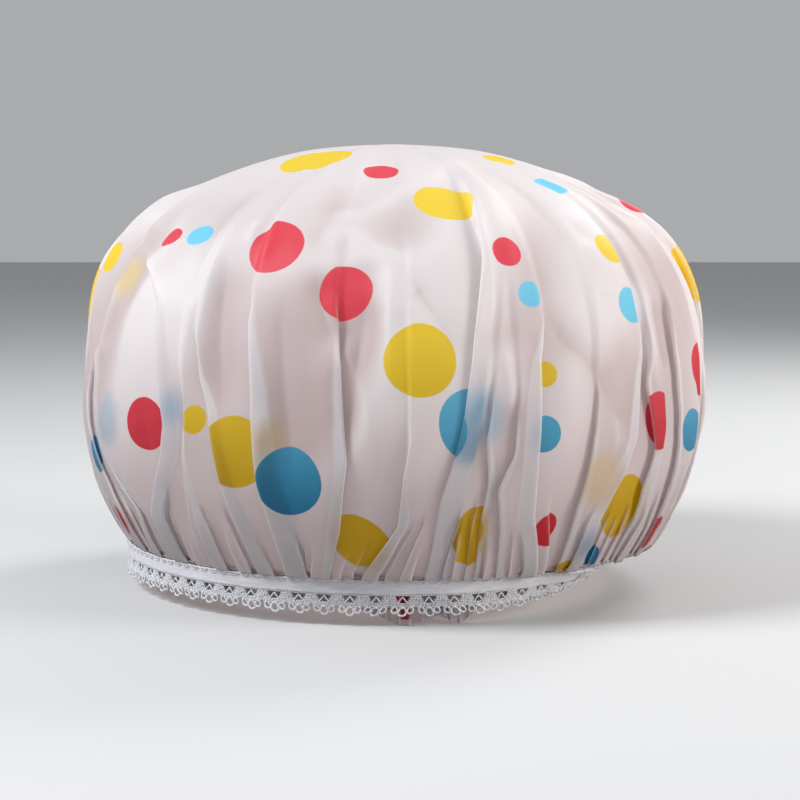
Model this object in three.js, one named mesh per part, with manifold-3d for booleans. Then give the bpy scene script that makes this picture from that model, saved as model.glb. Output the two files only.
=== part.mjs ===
// A shower cap: a disc of thin printed film gathered onto a lace-edged elastic band. It stands on its open
// side, puffed out as if it held a head. Sizes are in millimetres, +Z is up and the front faces -Y.
import * as THREE from "three";
import Module from "manifold-3d";

const library = await Module();
library.setup();
const { Manifold, Mesh } = library;

// Crown, the puffed film above the band
const CROWN_WIDTH = 270; // across its widest level, over the folds
const CROWN_RISE = 102; // from the widest level up to the top
const BAND_TO_WIDEST = 66; // from the band's top edge up to the widest level
const LOWER_REACH = 120; // how far down the lower curve would run if the band did not end it
const SHOULDER_SQUARENESS = 3; // exponent of the lift in the crown's upper curve
const SIDE_SQUARENESS = 2; // and in its lower one, an ellipse
const FILM_THICKNESS = 0.9;
const SHOULDER_STEPS = 7; // rings of facets from the top to the widest level
const SIDE_STEPS = 2; // rings of facets from there to the bulge over the band
const BULGE_RISE = 3.5; // the film's last free ring stands this far over the band's top edge
const BULGE_REACH = 4.25; // and this far out past the band
const TUCK_SAG = 2; // it hangs this much lower where the band turns in

// Main folds of the gathered crown, in order round it. Each row has the azimuths where the fold would reach
// the top and the band, in degrees from +X, which panel lies on top (1 for the one further round, -1 for the
// one before) and its height's share.
const FOLD_HEIGHT = 5;
const FOLD_SPREAD = 2.4; // degrees round the crown that a fold's step takes
const FIRST_FOLD_SHARE = 0.1; // of the way from the top to the band, where the folds begin
const FULL_FOLD_SHARE = 0.6; // and where they have their height
const FOLD_PLACES_AND_SHARES = [
  [-155, -145, 1, 0.9], [-134, -140, 1, 0.7], [-124, -120, 1, 0.8], [-114, -111, 1, 0.9],
  [-99, -100, -1, 0.8], [-91.2, -91.2, 1, 0.6], [-77, -82, 1, 0.9], [-71, -73, 1, 0.6],
  [-63, -61, -1, 1], [-53, -54, 1, 0.8], [-43, -48, -1, 0.9], [-38, -37, 1, 1],
  [-17, -19, -1, 1], [-1.2, -1.2, 1, 0.9], [14, 14, 1, 0.8], [28, 30, -1, 0.8],
  [44, 44, 1, 0.9], [59, 57, 1, 0.9], [74, 75, -1, 1], [88.8, 88.8, 1, 0.7],
  [106, 107, 1, 1], [122, 123, -1, 0.9], [138, 138, 1, 0.9], [155, 157, 1, 0.9],
  [181.2, 181.2, -1, 0.7], [192, 191, 1, 0.8],
];

// Hem, the film's raw edge under the stitching, which the cap stands on
const HEM_BELOW_LACE = 4; // at the front
const HEM_THICKNESS = 2.4; // of the bunched film at its foot
const HEM_RUFFLE = 2; // in and out

// Elastic tape, with the band's own place and lean
const BAND_DIAMETER = 222; // over the tape's outer face
const BAND_SHIFT = 3; // the band sits this far to the left under the crown
const BAND_TIP = 1; // and this much higher at the left and lower at the right
const TUCK_ANGLE = 78; // degrees that the band turns in under the crown at the right
const TUCK_AZIMUTH = -20; // degrees from +X
const TUCK_SPREAD = 58; // degrees to each side over which the turn dies away
const TAPE_HEIGHT = 5.6;
const TAPE_THICKNESS = 1.3;
const TAPE_GROOVE = 0.15; // depth of the faces' grooves between the cores
const LAP_AZIMUTH = -48; // degrees from +X, where the trim starts; its other end laps over the start
const LAP_TILES = 1; // length of the lap, in repeats of the lace
const LAP_RAMP_TILES = 2; // the outer end rises over this many repeats before the lap

// Rubber cores in the tape
const CORE_COUNT = 3;
const CORE_SIZE = 0.6; // square, as cut rubber thread is
const CORE_CLEARANCE = 0.1; // to its channel, on each side
const CHANNEL_OVERRUN_SHARE = 0.3; // of a repeat, past the tape's cut ends

// Lace edging
const LACE_REPEAT = 10.3;
const LACE_HEIGHT = 8.4;
const LACE_THICKNESS = 0.9;

// Sewing thread
const THREAD_SIZE = 0.4;
const STITCHES_PER_REPEAT = 2;
const STITCH_ABOVE_EDGE = 0.9; // the zigzag bites the film this far over the tape's top edge
const STITCH_BELOW_EDGE = 1.7; // and the tape this far under it
const BARTACK_ROWS = 5;
const BARTACK_LENGTH_SHARE = 0.35; // of a repeat
const BARTACK_EDGE_MARGIN = 0.5; // to the tape's lower edge

const SEAT_GAP = 0.3; // between pieces that are sewn or knitted together
const FILM_GAP = 1.3; // from the film's facets to what is sewn to it, whose facets do not line up with them

const bandRadius = BAND_DIAMETER / 2;
const bandTop = HEM_BELOW_LACE + LACE_HEIGHT + SEAT_GAP + TAPE_HEIGHT;
const widestLevel = bandTop + BAND_TO_WIDEST;
const tilesPerTurn = Math.round((2 * Math.PI * bandRadius) / LACE_REPEAT);
const trimTiles = tilesPerTurn + LAP_TILES;
const lapRise = TAPE_THICKNESS + SEAT_GAP;
const neckHeight = STITCH_ABOVE_EDGE + THREAD_SIZE / 2 + SEAT_GAP; // of film in line with the band, over it

const smoothstep = (x) => THREE.MathUtils.smoothstep(x, 0, 1);

// How far the band turns in under the crown at an azimuth, in radians.
function tuckAt(azimuth) {
  const away = THREE.MathUtils.radToDeg(azimuth) - TUCK_AZIMUTH;
  const nearest = THREE.MathUtils.euclideanModulo(away + 180, 360) - 180;
  return THREE.MathUtils.degToRad(TUCK_ANGLE) * smoothstep(1 - Math.abs(nearest) / TUCK_SPREAD);
}

// A point of the band: down is measured from the tape's top edge, out from its outer face.
function bandPoint(azimuth, down, out) {
  const tuck = tuckAt(azimuth);
  const topRadius = bandRadius - BAND_SHIFT * Math.cos(azimuth);
  const radius = topRadius - down * Math.sin(tuck) + out * Math.cos(tuck);
  const level = bandTop - BAND_TIP * Math.cos(azimuth);
  const height = level - down * Math.cos(tuck) - out * Math.sin(tuck);
  return new THREE.Vector3(radius * Math.cos(azimuth), radius * Math.sin(azimuth), height);
}

// How much lower the free film hangs at an azimuth, over the turned-in stretch of the band.
function sagAt(azimuth) {
  return (TUCK_SAG * tuckAt(azimuth)) / THREE.MathUtils.degToRad(TUCK_ANGLE);
}

function azimuthOfTile(tile) {
  return THREE.MathUtils.degToRad(LAP_AZIMUTH) + (tile * 2 * Math.PI) / tilesPerTurn;
}

// How far the trim stands off the film, so that its last tiles lie over its first ones.
function lapOutset(tile) {
  return lapRise * smoothstep((tile - tilesPerTurn + LAP_RAMP_TILES) / LAP_RAMP_TILES);
}

function trimPoint(tile, down, out) {
  return bandPoint(azimuthOfTile(tile), down, out + lapOutset(tile));
}

function geometryOf(points, faces) {
  const geometry = new THREE.BufferGeometry().setFromPoints(points);
  geometry.setIndex(faces.flat());
  return geometry;
}

// Sweeps a flat outline of Vector2(down, out), anticlockwise, through stations. place(station, down, out)
// gives each point. A closed sweep has no ends.
function sweep(outline, stations, place, closed = false) {
  const points = stations.flatMap((station) => outline.map((p) => place(station, p.x, p.y)));
  const count = outline.length;
  const faces = [];
  const spans = closed ? stations.length : stations.length - 1;
  for (let span = 0; span < spans; span++) {
    const near = span * count;
    const far = ((span + 1) % stations.length) * count;
    outline.forEach((_, a) => {
      const b = (a + 1) % count;
      faces.push([near + a, far + b, near + b], [near + a, far + a, far + b]);
    });
  }
  if (!closed) {
    const last = (stations.length - 1) * count;
    for (const [a, b, c] of THREE.ShapeUtils.triangulateShape(outline, [])) {
      faces.push([a, b, c], [last + a, last + c, last + b]);
    }
  }
  return geometryOf(points, faces);
}

function solidOf(geometry) {
  const vertProperties = geometry.getAttribute("position").array;
  const triVerts = new Uint32Array(geometry.index.array);
  return new Manifold(new Mesh({ numProp: 3, vertProperties, triVerts }));
}

function geometryOfSolid(solid) {
  const mesh = solid.getMesh();
  const geometry = new THREE.BufferGeometry();
  geometry.setAttribute("position", new THREE.BufferAttribute(mesh.vertProperties, mesh.numProp));
  return geometry.setIndex(new THREE.BufferAttribute(mesh.triVerts, 1));
}

function rectangle(lowDown, highDown, lowOut, highOut) {
  return [
    new THREE.Vector2(lowDown, lowOut),
    new THREE.Vector2(highDown, lowOut),
    new THREE.Vector2(highDown, highOut),
    new THREE.Vector2(lowDown, highOut),
  ];
}

const countTo = (count) => Array.from({ length: count }, (_, i) => i);

// The free film's rings as {radius, lift}, from under the top down to the bulge over the band. lift is
// measured from the widest level. Both curves of the crown are
// (radius / half width) ** 2 + (lift / reach) ** squareness = 1.
function crownRings() {
  const halfWidth = CROWN_WIDTH / 2;
  const shoulder = countTo(SHOULDER_STEPS).map((i) => {
    const turn = ((i + 1) / SHOULDER_STEPS) * (Math.PI / 2);
    const lift = CROWN_RISE * Math.max(Math.cos(turn), 0) ** (2 / SHOULDER_SQUARENESS);
    return { radius: halfWidth * Math.sin(turn), lift };
  });
  const bulge = { radius: bandRadius + BULGE_REACH, lift: BULGE_RISE - BAND_TO_WIDEST };
  const side = countTo(SIDE_STEPS - 1).map((i) => {
    const lift = ((i + 1) / SIDE_STEPS) * bulge.lift;
    const radius = halfWidth * Math.sqrt(1 - Math.abs(lift / LOWER_REACH) ** SIDE_SQUARENESS);
    return { radius, lift };
  });
  return [...shoulder, ...side, bulge];
}

// The film has two columns of points at each fold, one to each side of its step, at this way from the top to
// the band. spreadAt gives how far each stands from the fold, from the distance to the next fold.
function filmColumns(way, spreadAt) {
  const places = FOLD_PLACES_AND_SHARES.map(([atTop, atBand]) => THREE.MathUtils.lerp(atTop, atBand, way));
  const before = [places.at(-1) - 360, ...places];
  const after = [...places.slice(1), places[0] + 360];
  return FOLD_PLACES_AND_SHARES.flatMap(([, , panelOnTop, share], i) => {
    const low = places[i] - spreadAt(places[i] - before[i]);
    const high = places[i] + spreadAt(after[i] - places[i]);
    return [
      { azimuth: THREE.MathUtils.degToRad(low), share: panelOnTop < 0 ? 0 : share },
      { azimuth: THREE.MathUtils.degToRad(high), share: panelOnTop < 0 ? share : 0 },
    ];
  });
}

function filmRing(columns, outerAt, innerAt) {
  const outer = columns.map(outerAt);
  return { outer, inner: columns.map((column, i) => innerAt(column, outer[i])) };
}

function crownRing({ radius, lift }, ring, rings) {
  const way = (ring + 1) / rings.length;
  const height = FOLD_HEIGHT * smoothstep((way - FIRST_FOLD_SHARE) / (FULL_FOLD_SHARE - FIRST_FOLD_SHARE));
  const centre = new THREE.Vector3(0, 0, widestLevel);
  // The band's lean and sag carry the free film near it, and die away at the widest level.
  const low = Math.min(lift, 0) / BAND_TO_WIDEST;
  const outerAt = ({ azimuth, share }) => {
    const reach = radius - height * share;
    const level = widestLevel + lift + low * (BAND_TIP * Math.cos(azimuth) + sagAt(azimuth));
    return new THREE.Vector3(reach * Math.cos(azimuth), reach * Math.sin(azimuth), level);
  };
  const innerAt = (column, point) => point.clone().add(centre.clone().sub(point).setLength(FILM_THICKNESS));
  return filmRing(filmColumns(way, () => FOLD_SPREAD / 2), outerAt, innerAt);
}

const filmOut = -(TAPE_THICKNESS + FILM_GAP); // the film's outer face behind the tape
const bandColumns = filmColumns(1, (gap) => gap / 4); // spread out evenly behind the band

function seamRing(down) {
  return filmRing(
    bandColumns,
    ({ azimuth }) => bandPoint(azimuth, down, filmOut),
    ({ azimuth }) => bandPoint(azimuth, down, filmOut - FILM_THICKNESS),
  );
}

// The hem's foot lies flat on the table, ruffled in and out under the trim's lower edge.
function footRing() {
  const trimHeight = TAPE_HEIGHT + SEAT_GAP + LACE_HEIGHT;
  const pointAt = ({ azimuth, share }, inward) => {
    const above = bandPoint(azimuth, trimHeight, filmOut);
    const reach = Math.hypot(above.x, above.y) - HEM_RUFFLE * share - inward;
    return new THREE.Vector3(reach * Math.cos(azimuth), reach * Math.sin(azimuth), 0);
  };
  return filmRing(
    bandColumns,
    (column) => pointAt(column, 0),
    (column) => pointAt(column, HEM_THICKNESS),
  );
}

function crownFilm() {
  const seamBottom = TAPE_HEIGHT + SEAT_GAP + LACE_HEIGHT;
  const band = [seamRing(-neckHeight), seamRing(seamBottom), footRing()];
  const rings = [...crownRings().map(crownRing), ...band];
  const around = bandColumns.length;
  const top = widestLevel + CROWN_RISE;
  const points = [new THREE.Vector3(0, 0, top), new THREE.Vector3(0, 0, top - FILM_THICKNESS)];
  rings.forEach(({ outer, inner }) => points.push(...outer, ...inner));
  const at = (ring, side, i) => 2 + (2 * ring + side) * around + (i % around);
  const faces = [];
  for (const i of countTo(around)) {
    faces.push([0, at(0, 0, i), at(0, 0, i + 1)], [1, at(0, 1, i + 1), at(0, 1, i)]);
    for (let ring = 0; ring + 1 < rings.length; ring++) {
      const outer = [at(ring, 0, i), at(ring + 1, 0, i), at(ring + 1, 0, i + 1), at(ring, 0, i + 1)];
      const inner = [at(ring, 1, i), at(ring, 1, i + 1), at(ring + 1, 1, i + 1), at(ring + 1, 1, i)];
      for (const [a, b, c, d] of [outer, inner]) faces.push([a, b, c], [a, c, d]);
    }
    const foot = rings.length - 1;
    faces.push([at(foot, 0, i), at(foot, 1, i + 1), at(foot, 0, i + 1)]);
    faces.push([at(foot, 0, i), at(foot, 1, i), at(foot, 1, i + 1)]);
  }
  return geometryOf(points, faces);
}

const coreMiddles = countTo(CORE_COUNT).map((i) => ((i + 0.5) / CORE_COUNT) * TAPE_HEIGHT);

function coreSection(middle, size) {
  const half = size / 2;
  const out = -TAPE_THICKNESS / 2;
  return rectangle(middle - half, middle + half, out - half, out + half);
}

const trimStations = countTo(trimTiles + 1);

// The tape's outline: each face stands out over the cores and has grooves between them and at its edges.
function tapeOutline() {
  const face = countTo(2 * CORE_COUNT + 1).map((i) => {
    const down = (i / (2 * CORE_COUNT)) * TAPE_HEIGHT;
    return new THREE.Vector2(down, i % 2 ? 0 : -TAPE_GROOVE);
  });
  const back = face.map((p) => new THREE.Vector2(p.x, -TAPE_THICKNESS - p.y));
  return [...back, ...face.reverse()];
}

// The tape is knitted round its cores, so each core has a channel that is open at the tape's two ends.
function elasticTape() {
  const size = CORE_SIZE + 2 * CORE_CLEARANCE;
  const overrun = CHANNEL_OVERRUN_SHARE;
  const throughEnds = [-overrun, ...trimStations.slice(1, -1), trimTiles + overrun];
  const tape = solidOf(sweep(tapeOutline(), trimStations, trimPoint));
  const channels = coreMiddles.map((middle) =>
    solidOf(sweep(coreSection(middle, size), throughEnds, channelPoint)),
  );
  return geometryOfSolid(channels.reduce((solid, channel) => solid.subtract(channel), tape));
}

// Past the trim's ends a channel goes on in the line of its last repeat.
function channelPoint(tile, down, out) {
  const inside = THREE.MathUtils.clamp(tile, 0, trimTiles);
  const end = trimPoint(inside, down, out);
  if (inside === tile) return end;
  const before = trimPoint(inside - Math.sign(tile - inside), down, out);
  return end.clone().lerp(before, -Math.abs(tile - inside));
}

function rubberCore(middle) {
  return sweep(coreSection(middle, CORE_SIZE), trimStations, trimPoint);
}

// One repeat of the lace: its scalloped lower edge, then the open triangle and the picot loop's eye, as
// shares of the repeat along the band and of the lace's height.
const SCALLOP_SHARES = [
  [0, 0.46], [0.1, 0.7], [0.27, 0.76], [0.35, 0.6], [0.38, 0.9], [0.5, 1],
  [0.62, 0.9], [0.65, 0.6], [0.73, 0.76], [0.9, 0.7], [1, 0.46],
];
const TRIANGLE_SHARES = [[0.23, 0.1], [0.77, 0.1], [0.5, 0.42]];
const EYE_SHARES = [[0.5, 0.66], [0.58, 0.79], [0.5, 0.91], [0.42, 0.79]];

// The lace is a flat net bent round the band: each repeat has an outer and an inner face, walls at its
// edges and round its two holes, and shares its side points with the next repeat.
function laceEdging() {
  const toPoints = (shares) => shares.map(([along, down]) => new THREE.Vector2(along, down));
  const outline = [...toPoints(SCALLOP_SHARES), new THREE.Vector2(1, 0), new THREE.Vector2(0, 0)].reverse();
  const holes = [toPoints(TRIANGLE_SHARES), toPoints(EYE_SHARES)].map((hole) => hole.reverse());
  const flat = [outline, ...holes].flat();
  const tileFaces = THREE.ShapeUtils.triangulateShape(outline, holes);
  const laceTop = TAPE_HEIGHT + SEAT_GAP;
  const outs = [(LACE_THICKNESS - TAPE_THICKNESS) / 2, (-LACE_THICKNESS - TAPE_THICKNESS) / 2];
  const points = [];
  const seen = new Map();
  const vertex = (tile, p, side) => {
    const key = [tile + p.x, p.y, side].join();
    if (!seen.has(key)) {
      seen.set(key, points.length);
      points.push(trimPoint(tile + p.x, laceTop + p.y * LACE_HEIGHT, outs[side]));
    }
    return seen.get(key);
  };
  const faces = [];
  for (const tile of countTo(trimTiles)) {
    for (const [a, b, c] of tileFaces.map((face) => face.map((i) => flat[i]))) {
      faces.push([vertex(tile, a, 0), vertex(tile, c, 0), vertex(tile, b, 0)]);
      faces.push([vertex(tile, a, 1), vertex(tile, b, 1), vertex(tile, c, 1)]);
    }
    for (const contour of [outline, ...holes]) {
      contour.forEach((p, i) => {
        const q = contour[(i + 1) % contour.length];
        const joined = p.x === q.x && ((p.x === 0 && tile > 0) || (p.x === 1 && tile < trimTiles - 1));
        if (joined) return;
        const [a, b] = [vertex(tile, p, 0), vertex(tile, q, 0)];
        const [c, d] = [vertex(tile, q, 1), vertex(tile, p, 1)];
        faces.push([a, b, c], [a, c, d]);
      });
    }
  }
  return geometryOf(points, faces);
}

// A zigzag of thread, one closed loop round the band. outAt(tile) is how far its middle stands out.
function zigzagThread(outAt) {
  const half = THREAD_SIZE / 2;
  const outline = [
    new THREE.Vector2(-half, -half),
    new THREE.Vector2(half, -half),
    new THREE.Vector2(0, half),
  ];
  const turns = 2 * STITCHES_PER_REPEAT * tilesPerTurn;
  const place = (turn, down, out) => {
    const tile = LAP_TILES + turn / (2 * STITCHES_PER_REPEAT);
    const middle = turn % 2 ? STITCH_BELOW_EDGE : -STITCH_ABOVE_EDGE;
    return bandPoint(azimuthOfTile(tile), middle + down, outAt(tile) + out);
  };
  return sweep(outline, countTo(turns), place, true);
}

function needleThread() {
  // Past the lap the thread stays out for one stitch before it comes down to the tape.
  const clearOf = LAP_TILES + 1 / STITCHES_PER_REPEAT;
  const lapOut = (tile) => (tile < clearOf ? lapRise : lapOutset(tile));
  return zigzagThread((tile) => lapOut(tile) + SEAT_GAP + THREAD_SIZE / 2);
}

function bobbinThread() {
  const out = filmOut - FILM_THICKNESS - FILM_GAP - THREAD_SIZE / 2;
  return zigzagThread(() => out);
}

// The close rows of thread that hold the lapped ends together, under the zigzag and by the outer cut end.
function joinBartack() {
  const low = STITCH_BELOW_EDGE + THREAD_SIZE / 2 + SEAT_GAP;
  const step = (TAPE_HEIGHT - BARTACK_EDGE_MARGIN - low) / (2 * BARTACK_ROWS);
  const foot = SEAT_GAP;
  const humps = countTo(2 * BARTACK_ROWS + 1).map((i) => {
    const out = foot + (i % 2 ? THREAD_SIZE : THREAD_SIZE / 2);
    return new THREE.Vector2(low + i * step, out);
  });
  const outline = [new THREE.Vector2(low, foot), humps.at(-1).clone().setY(foot), ...humps.reverse()];
  const endTile = trimTiles - BARTACK_LENGTH_SHARE / 2;
  return sweep(outline, [endTile - BARTACK_LENGTH_SHARE, endTile], trimPoint);
}

const film = new THREE.MeshStandardMaterial({ color: 0xf0e8e6, roughness: 0.35, metalness: 0 });
const knit = new THREE.MeshStandardMaterial({ color: 0xf4f4f6, roughness: 0.85, metalness: 0 });
const lace = new THREE.MeshStandardMaterial({ color: 0xfafafc, roughness: 0.7, metalness: 0 });
const rubber = new THREE.MeshStandardMaterial({ color: 0xe6dcc8, roughness: 0.6, metalness: 0 });
const thread = new THREE.MeshStandardMaterial({ color: 0xffffff, roughness: 0.6, metalness: 0 });

function piece(name, geometry, material) {
  geometry.computeVertexNormals();
  const mesh = new THREE.Mesh(geometry, material);
  mesh.name = name;
  return mesh;
}

const cap = new THREE.Group();
cap.add(piece("crown_film", crownFilm(), film));
cap.add(piece("elastic_tape", elasticTape(), knit));
coreMiddles.forEach((middle, i) => cap.add(piece(`rubber_core_${i + 1}`, rubberCore(middle), rubber)));
cap.add(piece("lace_edging", laceEdging(), lace));
cap.add(piece("needle_thread", needleThread(), thread));
cap.add(piece("bobbin_thread", bobbinThread(), thread));
cap.add(piece("join_bartack", joinBartack(), thread));

export default cap;
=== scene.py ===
"""A shower cap of dotted film on a lace-edged elastic band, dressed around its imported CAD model.

Sizes in this script are millimetres until a mesh is made. The azimuth runs anticlockwise from +X, seen from
above, so the front is at -90 degrees and azimuths grow from left to right across the front.
"""
import math

import bpy
import numpy as np
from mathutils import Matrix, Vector
from mathutils.bvhtree import BVHTree
from mathutils.interpolate import poly_3d_calc


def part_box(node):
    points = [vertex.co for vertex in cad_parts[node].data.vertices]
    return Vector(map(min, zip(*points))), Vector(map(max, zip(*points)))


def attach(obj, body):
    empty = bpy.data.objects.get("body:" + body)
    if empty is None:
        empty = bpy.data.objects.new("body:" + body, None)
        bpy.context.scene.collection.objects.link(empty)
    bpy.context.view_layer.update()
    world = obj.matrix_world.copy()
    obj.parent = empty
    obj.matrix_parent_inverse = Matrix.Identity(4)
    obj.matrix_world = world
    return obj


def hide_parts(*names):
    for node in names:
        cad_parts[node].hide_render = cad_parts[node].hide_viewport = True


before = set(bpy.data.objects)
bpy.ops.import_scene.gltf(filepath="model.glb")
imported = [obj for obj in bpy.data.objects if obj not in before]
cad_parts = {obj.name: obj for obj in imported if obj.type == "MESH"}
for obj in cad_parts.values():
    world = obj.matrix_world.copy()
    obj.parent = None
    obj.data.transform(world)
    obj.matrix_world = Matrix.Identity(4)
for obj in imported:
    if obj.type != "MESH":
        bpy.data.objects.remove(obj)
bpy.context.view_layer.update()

MM = 0.001
TURN = 2 * math.pi
rng = np.random.default_rng(7)

# The photograph and its camera
PHOTO_SIDE = 800  # pixels
CAMERA_DISTANCE = 1000
CAMERA_ELEVATION = math.radians(6)
MM_PER_PIXEL = 0.4313  # at the cap's middle
SENSOR = 36
CAMERA_TARGET = (3.4, 0, 76.8)

# Crown
crown_low, crown_high = (np.array(c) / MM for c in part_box("crown_film"))
CROWN_RADIUS = (crown_high[0] - crown_low[0]) / 2
CROWN_RISE = 102
BAND_TO_WIDEST = 66
LOWER_REACH = 120
SHOULDER_SQUARENESS = 3
SIDE_SQUARENESS = 2
BULGE_RISE = 1.6  # of the free film's lowest level over the band
TUCK_SAG = 2

# Band: the trim's own frame, as in the CAD model
BAND_RADIUS = 111
BAND_SHIFT = 3
BAND_TOP = 18.3
BAND_TIP = 1
TUCK_ANGLE = math.radians(78)
TUCK_AZIMUTH = math.radians(-20)
TUCK_SPREAD = math.radians(58)
TAPE_HEIGHT = 5.6
TAPE_THICKNESS = 1.3
LACE_HEIGHT = 8.4
LACE_REPEAT = 10.3
LAP_AZIMUTH = math.radians(-48)
LAP_TILES = 1
LAP_RAMP_TILES = 2
SEAT_GAP = 0.3
NECK = 1.4
HEM_BELOW_LACE = 4
TILES_PER_TURN = round(TURN * BAND_RADIUS / LACE_REPEAT)
TRIM_TILES = TILES_PER_TURN + LAP_TILES
LAP_RISE = TAPE_THICKNESS + SEAT_GAP
WIDEST = BAND_TOP + BAND_TO_WIDEST

# Film
FILM_OUT = -(TAPE_THICKNESS + SEAT_GAP)  # the film's outermost place behind the tape
GATHER_DEPTH = 4.4  # of the film's gathers behind the tape
NECK_REACH = 9  # length of film from the bulge to the band
BULGE_DROOP = 2.8  # of the free film's foot, over the band
DROOP_START_SHARE = 0.375  # of the way from the widest ring down to the band
COVER_GAP = 0.15  # from the film over the band to the tape's top edge
NORMAL_STEP = 0.6
SPAN_GAP = 1.5  # between neighbouring folds, besides their flat parts
KNOT_GAP = 0.35  # between neighbouring turns, at least
FLOOR_GAP = 0.1
HEM_BUNCH = 7  # that the hem is drawn up behind the lace, away from its lobes
HEM_LOBES = ((407, 14), (462, 7))  # in the photograph: pixel across, half width in mm
HIDDEN_LOBES = 5
HIDDEN_LOBE_PLACES = (20, 210)  # degrees
HIDDEN_LOBE_WIDTHS = (12, 28)
EDGE_HIGHLIGHT_WIDTH = 0.8  # of the painted highlight along a fold's turned edge

# Its mesh
RING_STEP = 2.3
THINNING = ((115, 1), (75, 2), (42, 4), (20, 8), (0, 16))  # from these lengths down, every how many points
FINE_COUNT = 8192  # samples on a ring while its folds are worked out
TURN_POINTS = 5  # in each turn of a fold
FLAT_POINTS = 2  # and between its two turns
COLUMN_STEP = 1.6  # between the mesh's columns where the film lies open
OPEN_LENGTH = 150  # from which on it is measured
IDLE_SHARES = (0.33, 0.11)  # of the room beside a fold that its columns keep to where it isn't turned

# Its folds
FOLD_TURN = 2.9  # radians that a flattened fold turns back by
HEAVY_BEND = 1.5  # half the film in a fold's turn
LONG_BEND = 1.2
LIGHT_BEND = 0.9
FOLD_PULL = math.radians(7)  # how far round the cap a fold draws its film from
SOFT_SHOULDER = 1.6  # how much wider a fold turns over the shoulder
BAND_BEND_LOSS = 0.45  # and how much less wide by the band
BIG_FOLD_FIRMNESS = 6  # how much more a small fold gives way than a big one beside it
YIELD = 0.7  # share of its lacking room that a pair of folds moves apart by at a time
FOLD_INSET = 2.2  # of the film's mean level inside the crown's outline, which its folds reach
SHOULDER_INSET = 2.4  # of the film inside the CAD crown, all round its shoulder
LEVELLING = 14  # width over which the film falls back to its mean level between folds
NECK_LEVELLING = 6
FOLD_LIMIT = 7  # of the film's way out of its mean level
NECK_LIMIT = GATHER_DEPTH / 2
GATHER_SPACING = 4.8  # of the gathers at the band
GATHER_WANDER = 0.28  # of a gather from its even place, as a share of the spacing
LEAST_WEIGHT_SHARE = 0.03  # of a big fold before its start
FOLD_LEAD = 10  # that a fold starts before its first point in the photograph
PHOTO_RAMP = 45  # the length over which such a fold grows
HIDDEN_STARTS = (85, 150)
HIDDEN_RAMP = 55
HIDDEN_WANDER = 6  # degrees
LONG_STARTS_IN_FRONT = (222, 247)  # of the long gathers, every third one
LONG_STARTS_BEHIND = (165, 190)
LONG_WEIGHTS = (0.5, 0.8)
LONG_RAMP = 35
SHORT_STARTS = (222, 250)
SHORT_WEIGHTS = (0.35, 0.6)
SHORT_RAMP = 24

# Lengths from the top between which each of these sets in, or dies away if the larger one comes first
COLUMN_SPAN = (60, 130)  # the mesh's columns keep to the folds
WANDER_SPAN = (150, 270)
SOFT_SHOULDER_SPAN = (200, 120)
FOLD_INSET_SPAN = (110, 170)
SHOULDER_INSET_SPANS = ((30, 80), (210, 140))
LUMP_SPANS = ((60, 130), (235, 195))
# And the same, from the crown's lowest level
BEND_LOSS_SPAN = (-5, 4)
NECK_SPAN = (-30, 15)  # the gathers are held in

# Its slack places and soft creases
LUMP_DEPTH = 1.9
LUMP_WAVES = 12
LUMP_WAVES_ROUND = (3, 15)
LUMP_WAVE_LENGTHS = (110, 320)
CREASE_DEPTH = 2.0
CREASE_COUNT = 90  # seeded soft creases, besides those in the photograph
CREASE_WIDTH = 5.5
CREASE_ROUNDING = 1.4
CREASE_STARTS = (60, 215)
CREASE_REACHES = (25, 75)
CREASE_SLANT = 0.55  # radians off straight down
CREASE_BOW = 0.15
CREASE_TAPER_SHARE = 0.35
LIFT_LIMIT = 2.2  # of the film's slack and creases out of the crown
SLACK_SHADE_SPAN = (-3.4, 1.0)  # ways in and out at which the painted shade in the film's dips makes it darkest and lightest
GHOST_REACH = 10  # depth at which film behind other film still shows through
GHOST_LAYERS = 2
LAYER_STEP = 0.3  # off a layer, to look for the next one

# The folds in the photograph: panel on top (1 for the right one), weight, points from the top down in its
# pixels, and the length that a fold starts at where its first points only guide it
PHOTO_FOLDS = (
    (1, 1.5, ((93, 330), (86, 393), (92, 430), (112, 470), (146, 520))),
    (1, 2.0, ((140, 230), (150, 270), (157, 300), (161, 393), (166, 427), (160, 456), (152, 517))),
    (1, 0.8, ((174, 400), (176, 433), (184, 480), (196, 520))),
    (1, 1.5, ((190, 330), (196, 383), (205, 414), (222, 494), (255, 566))),
    (1, 2.0, ((248, 283), (248, 300), (249, 400), (257, 482), (283, 562))),
    (-1, 0.8, ((334, 300), (335, 376), (344, 465), (337, 532), (327, 578))),
    (1, 0.8, ((410, 440), (400, 532), (363, 578))),
    (1, 2.2, ((474, 172), (481, 211), (486, 248), (483, 335), (474, 414), (445, 500), (428, 580))),
    (1, 1.0, ((500, 250), (499, 330), (492, 400), (491, 440), (493, 486), (482, 530), (478, 576)), 175),
    (1, 0.8, ((522, 400), (518, 454), (501, 490), (499, 578))),
    (-1, 2.0, ((550, 318), (546, 340), (543, 361), (537, 456), (533, 519), (537, 574))),
    (1, 0.9, ((604, 400), (598, 450), (580, 510), (565, 562))),
    (-1, 1.8, ((650, 330), (643, 439), (600, 519), (588, 551))),
    (1, 1.0, ((656, 330), (657, 380), (661, 448), (625, 545))),
    (-1, 0.9, ((672, 360), (670, 430), (650, 490), (643, 528))),
    (1, 1.2, ((680, 300), (687, 390), (683, 450), (668, 500))),
)
# Folds round the back: azimuth in degrees, panel on top (1 for the one further round), weight
HIDDEN_FOLDS = (
    (-17, -1, 1.2), (-2, 1, 2.0), (14, 1, 0.9), (28, -1, 1.5), (44, 1, 2.0), (59, 1, 1.0), (74, -1, 1.8),
    (88, 1, 1.2), (106, 1, 2.0), (122, -1, 0.9), (138, 1, 1.6), (155, 1, 2.0), (182, -1, 1.0), (192, 1, 1.6),
)
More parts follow.
